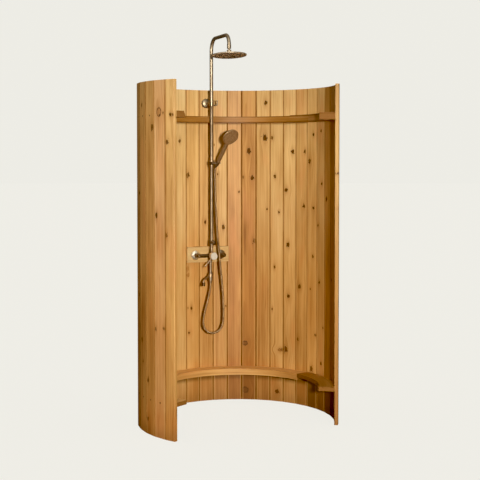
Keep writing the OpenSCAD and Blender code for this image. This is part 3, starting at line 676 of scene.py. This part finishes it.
for node in ("riser_pipe", "hose_outlet"):
    dress(node, BRONZE_UP)
dress("gooseneck_arm", BRONZE_NECK)
dress("swivel_spout", BRONZE_SPOUT)
for node in ("mixer_body", "supply_stubs"):
    dress(node, BRONZE_ACROSS)
dress("wall_flanges", BRONZE_FLANGE)
dress("wall_bracket", BRACKET)
for node in ("diverter_body", "cartridge_stem",
             "slider_body", "handset_holder", "hose_nut_lower", "hose_nut_upper", "ball_stud"):
    dress(node, BRONZE)
dress("handset_body", BRONZE_HAND)
dress("rain_head", BRONZE_HEAD)
dress("mixer_cap", BRONZE_POLISHED)
dress("mixer_lever", BRONZE_LEVER)
for node in ("union_nuts", "diverter_knob", "slider_knob", "spout_aerator"):
    dress(node, BRONZE_DARK)
dress("brace_screws", SCREW)


def spray_plate():
    t = Tree("spray_plate")
    p = t.place()
    f = t.add(t.mul(t.noise(p, 60.0, 3.0, 0.6), 0.7), t.mul(t.noise(p, 400.0, 2.0, 0.6), 0.3))
    t.set("Base Color", t.mix(t.smooth(f, 0.35, 0.65), (0.300, 0.180, 0.085), (0.440, 0.275, 0.138)))
    t.set("Metallic", 0.55)
    t.set("Roughness", t.math("ADD", t.mul(f, 0.15), 0.45))
    t.set("Normal", t.bump(f, 0.00008, 0.4))
    return t.mat


def rubber():
    t = Tree("nozzle_rubber")
    p = t.place()
    f = t.noise(p, 500.0, 2.0, 0.6)
    t.set("Base Color", t.mix(f, (0.028, 0.022, 0.018), (0.075, 0.060, 0.048)))
    t.set("Roughness", t.math("ADD", t.mul(f, 0.2), 0.48))
    t.set("Normal", t.bump(f, 0.00005, 0.4))
    return t.mat


SPRAY = spray_plate()
RUBBER = rubber()
dress("handset_face", SPRAY)
for obj in (hose_main, hose_bend, hose_end):
    finish_piece(obj, None, HOSE_METAL)


# ---------------------------------------------------------------- small pieces

HEAD = Matrix.Translation((0, CY + 0.150, 2.190)) @ Matrix.Rotation(math.radians(-5), 4, "X")
HAND = (
    Matrix.Translation((0.027, CY + 0.428, 1.520))
    @ Matrix.Rotation(math.radians(25), 4, "Z")
    @ Matrix.Rotation(math.radians(34), 4, "X")
    @ Matrix.Rotation(math.radians(-11), 4, "Z")
)
DOWN = Matrix.Rotation(math.pi, 4, "X")
FORWARD = Matrix.Rotation(math.pi / 2, 4, "X")


def nozzles(shape, frame_matrix, radii, base, r=0.0019, h=0.0016):
    """Soft tips in rings round the frame's +Z axis, standing on the plane at height base."""
    tip = [(r * 1.25, -0.0004), (r * 1.25, 0), (r, 0.0003), (r * 0.72, h * 0.82), (r * 0.5, h), (r * 0.30, h),
           (r * 0.30, h - 0.0005), (0, h - 0.0005)]
    for i, rad in enumerate(radii):
        n = max(1, int(round(2 * math.pi * rad / 0.0118)))
        for k in range(n):
            a = 2 * math.pi * (k + 0.5 * (i % 2)) / n
            shape.turned(tip, frame_matrix @ Matrix.Translation((rad * math.cos(a), rad * math.sin(a), base(rad))), 10)


s = Shape()
nozzles(s, HEAD @ DOWN, [0.011, 0.023, 0.035, 0.047, 0.059, 0.071, 0.083, 0.095], lambda r: 0.029, r=0.0028)
finish_piece(s.obj("rain_nozzles"), "head", RUBBER)

# the face is a low cone from its rim to its middle
s = Shape()
FACE = HAND @ Matrix.Translation((0, -0.0095, 0.198)) @ FORWARD
nozzles(s, FACE, [0.0, 0.009, 0.018, 0.027, 0.036, 0.0445],
        lambda r: 0.0026 - 0.0006 * min(1.0, r / 0.0475), r=0.0015, h=0.0013)
finish_piece(s.obj("hand_nozzles"), "handset", RUBBER)


# a grub screw in the front of the spout's collar
s = Shape()
SPOUT_X, SPOUT_Y = -0.007, CY + 0.465
at = Matrix.Translation((SPOUT_X - 0.0045, SPOUT_Y - 0.01425, 0.8125)) @ Matrix.Rotation(math.radians(-17), 4, "Z") @ FORWARD
s.turned([(0.0026, -0.0006), (0.0026, 0.0004), (0.0021, 0.0011), (0.0012, 0.0014), (0.0010, 0.0013), (0.0009, 0.0004),
          (0, 0.0004)], at, 20)
finish_piece(s.obj("spout_grub_screw"), "spout", BRONZE_POLISHED)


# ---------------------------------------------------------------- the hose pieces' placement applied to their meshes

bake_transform(hose_main)
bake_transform(hose_bend)
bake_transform(hose_end)


# ---------------------------------------------------------------- stage and light


def emission(name, colour, strength=1.0):
    mat = bpy.data.materials.new(name)
    mat.use_nodes = True
    t = mat.node_tree
    t.nodes.clear()
    e = t.nodes.new("ShaderNodeEmission")
    e.inputs[0].default_value = (*colour, 1)
    e.inputs[1].default_value = strength
    o = t.nodes.new("ShaderNodeOutputMaterial")
    t.links.new(e.outputs[0], o.inputs[0])
    return mat


BLACK = (0.004, 0.010, 0.015)  # the film's black level
PAPER = tuple(c * (1 - b) + b for c, b in zip((0.850, 0.840, 0.784), BLACK))


def disc(name, radius, z, sides=96):
    verts = [(radius * math.cos(2 * math.pi * k / sides), radius * math.sin(2 * math.pi * k / sides), z) for k in range(sides)]
    return new_mesh(name, verts, [tuple(range(sides))], smooth=False)


def dome(name, radius, sides=48, rings=24):
    verts, faces = [], []
    for i in range(rings + 1):
        e = -math.pi / 2 + math.pi * i / rings
        for k in range(sides):
            a = 2 * math.pi * k / sides
            verts.append((radius * math.cos(e) * math.cos(a), radius * math.cos(e) * math.sin(a), radius * math.sin(e)))
    for i in range(rings):
        for k in range(sides):
            faces.append((i * sides + k, (i + 1) * sides + k, (i + 1) * sides + (k + 1) % sides, i * sides + (k + 1) % sides))
    return new_mesh(name, verts, faces)


# a pale paper-like floor with only the soft light on it
floor = disc("floor", 60.0, -0.0005)
mat = bpy.data.materials.new("floor_paper")
mat.use_nodes = True
t = mat.node_tree
t.nodes.clear()
out = t.nodes.new("ShaderNodeOutputMaterial")
addn = t.nodes.new("ShaderNodeAddShader")
dif = t.nodes.new("ShaderNodeBsdfDiffuse")
emi = t.nodes.new("ShaderNodeEmission")
dif.inputs[0].default_value = (0.12, 0.12, 0.12, 1)
emi.inputs[0].default_value = (PAPER[0] - 0.026, PAPER[1] - 0.025, PAPER[2] - 0.022, 1)
emi.inputs[1].default_value = 1.0
t.links.new(dif.outputs[0], addn.inputs[0])
t.links.new(emi.outputs[0], addn.inputs[1])
t.links.new(addn.outputs[0], out.inputs[0])
floor.data.materials.append(mat)
floor.visible_diffuse = False
floor.visible_glossy = False

backdrop = dome("backdrop", 70.0)
backdrop.data.materials.append(emission("backdrop_paper", PAPER))
for flag in ("visible_diffuse", "visible_glossy", "visible_transmission", "visible_volume_scatter", "visible_shadow"):
    setattr(backdrop, flag, False)

world = bpy.data.worlds.new("world")
world.use_nodes = True
scene.world = world
wt = world.node_tree
bg = wt.nodes["Background"]
bg.inputs[0].default_value = (1.0, 0.92, 0.81, 1)
# soft light from above, none from below the horizon
where = wt.nodes.new("ShaderNodeTexCoord")
up = wt.nodes.new("ShaderNodeSeparateXYZ")
sky = wt.nodes.new("ShaderNodeMapRange")
sky.interpolation_type = "SMOOTHSTEP"
for socket, v in zip(sky.inputs, (0.0, 0.05, 0.95, 0.012, 0.42)):
    socket.default_value = v
wt.links.new(where.outputs["Generated"], up.inputs[0])
wt.links.new(up.outputs["Z"], sky.inputs[0])
wt.links.new(sky.outputs[0], bg.inputs[1])


def area(name, where, aim, size, power, colour=(1, 1, 1), size_y=None):
    data = bpy.data.lights.new(name, "AREA")
    data.energy = power
    data.color = colour
    data.shape = "RECTANGLE" if size_y else "DISK"
    data.size = size
    if size_y:
        data.size_y = size_y
    obj = bpy.data.objects.new(name, data)
    scene.collection.objects.link(obj)
    obj.location = where
    obj.rotation_euler = (Vector(aim) - Vector(where)).to_track_quat("-Z", "Y").to_euler()
    return obj


aim = Vector((0.0, CY + 0.40, 1.15))
towards = Vector((0.233, 0.972, -0.085)).normalized()
key = area("key", aim - towards * 7.0, aim, 0.36, 545, (1.0, 0.970, 0.915))
overhead = area("overhead", (-0.6, CY - 2.2, 4.4), (0.0, CY, 1.0), 1.4, 22, (1.0, 0.97, 0.93))
side_fill = area("side_fill", (-7.0, -0.9, 1.3), (-0.6, -0.3, 1.0), 3.0, 95, (1.0, 0.95, 0.88))
lit = bpy.data.collections.new("lit_by_key")
key.light_linking.receiver_collection = lit
overhead.light_linking.receiver_collection = lit
side_fill.light_linking.receiver_collection = lit
# soft light for the outside of the wall at the back and on the right
staves = [nodes[f"stave_{k:02d}"] for k in range(1, 28)]
behind = area("behind", (2.4, CY + 6.6, 1.7), (0, CY, 1.0), 1.4, 260, (1.0, 0.96, 0.90))
beside = area("beside", (5.9, CY - 1.0, 1.6), (0.3, CY, 1.0), 2.4, 110, (1.0, 0.96, 0.90))
outside = bpy.data.collections.new("lit_from_behind")
for obj in staves[5:26]:
    outside.objects.link(obj)
right_side = bpy.data.collections.new("lit_from_beside")
for obj in staves[16:26]:
    right_side.objects.link(obj)
behind.light_linking.receiver_collection = outside
beside.light_linking.receiver_collection = right_side
# light the floor throws back up at the metalwork above it
bounce = area("floor_bounce", (-0.3, CY - 1.3, 0.05), (0, CY + 0.15, 2.19), 2.2, 30, (1.0, 0.97, 0.92))
overhead_metal = bpy.data.collections.new("lit_by_floor")
for node in ("rain_head", "gooseneck_arm"):
    overhead_metal.objects.link(nodes[node])
bounce.light_linking.receiver_collection = overhead_metal
# light off the wall that softens the inner edge of the lower right brace
edge_fill = area("edge_fill", (-0.05, CY - 0.1, 0.10), (0.50, CY - 0.05, 0.195), 0.4, 1.4, (1.0, 0.90, 0.76))
right_ledge = bpy.data.collections.new("lit_by_wall")
for node in ("lower_right_brace", "stave_22", "stave_23"):
    right_ledge.objects.link(nodes[node])
edge_fill.light_linking.receiver_collection = right_ledge
lit.objects.link(floor)
lit.collection_objects[0].light_linking.link_state = "EXCLUDE"

scene.view_settings.view_transform = "Standard"
scene.view_settings.look = "None"
scene.view_settings.exposure = 0.0
scene.view_settings.gamma = 1.0
scene.view_settings.use_curve_mapping = True
scene.view_settings.curve_mapping.black_level = BLACK
scene.view_settings.curve_mapping.update()
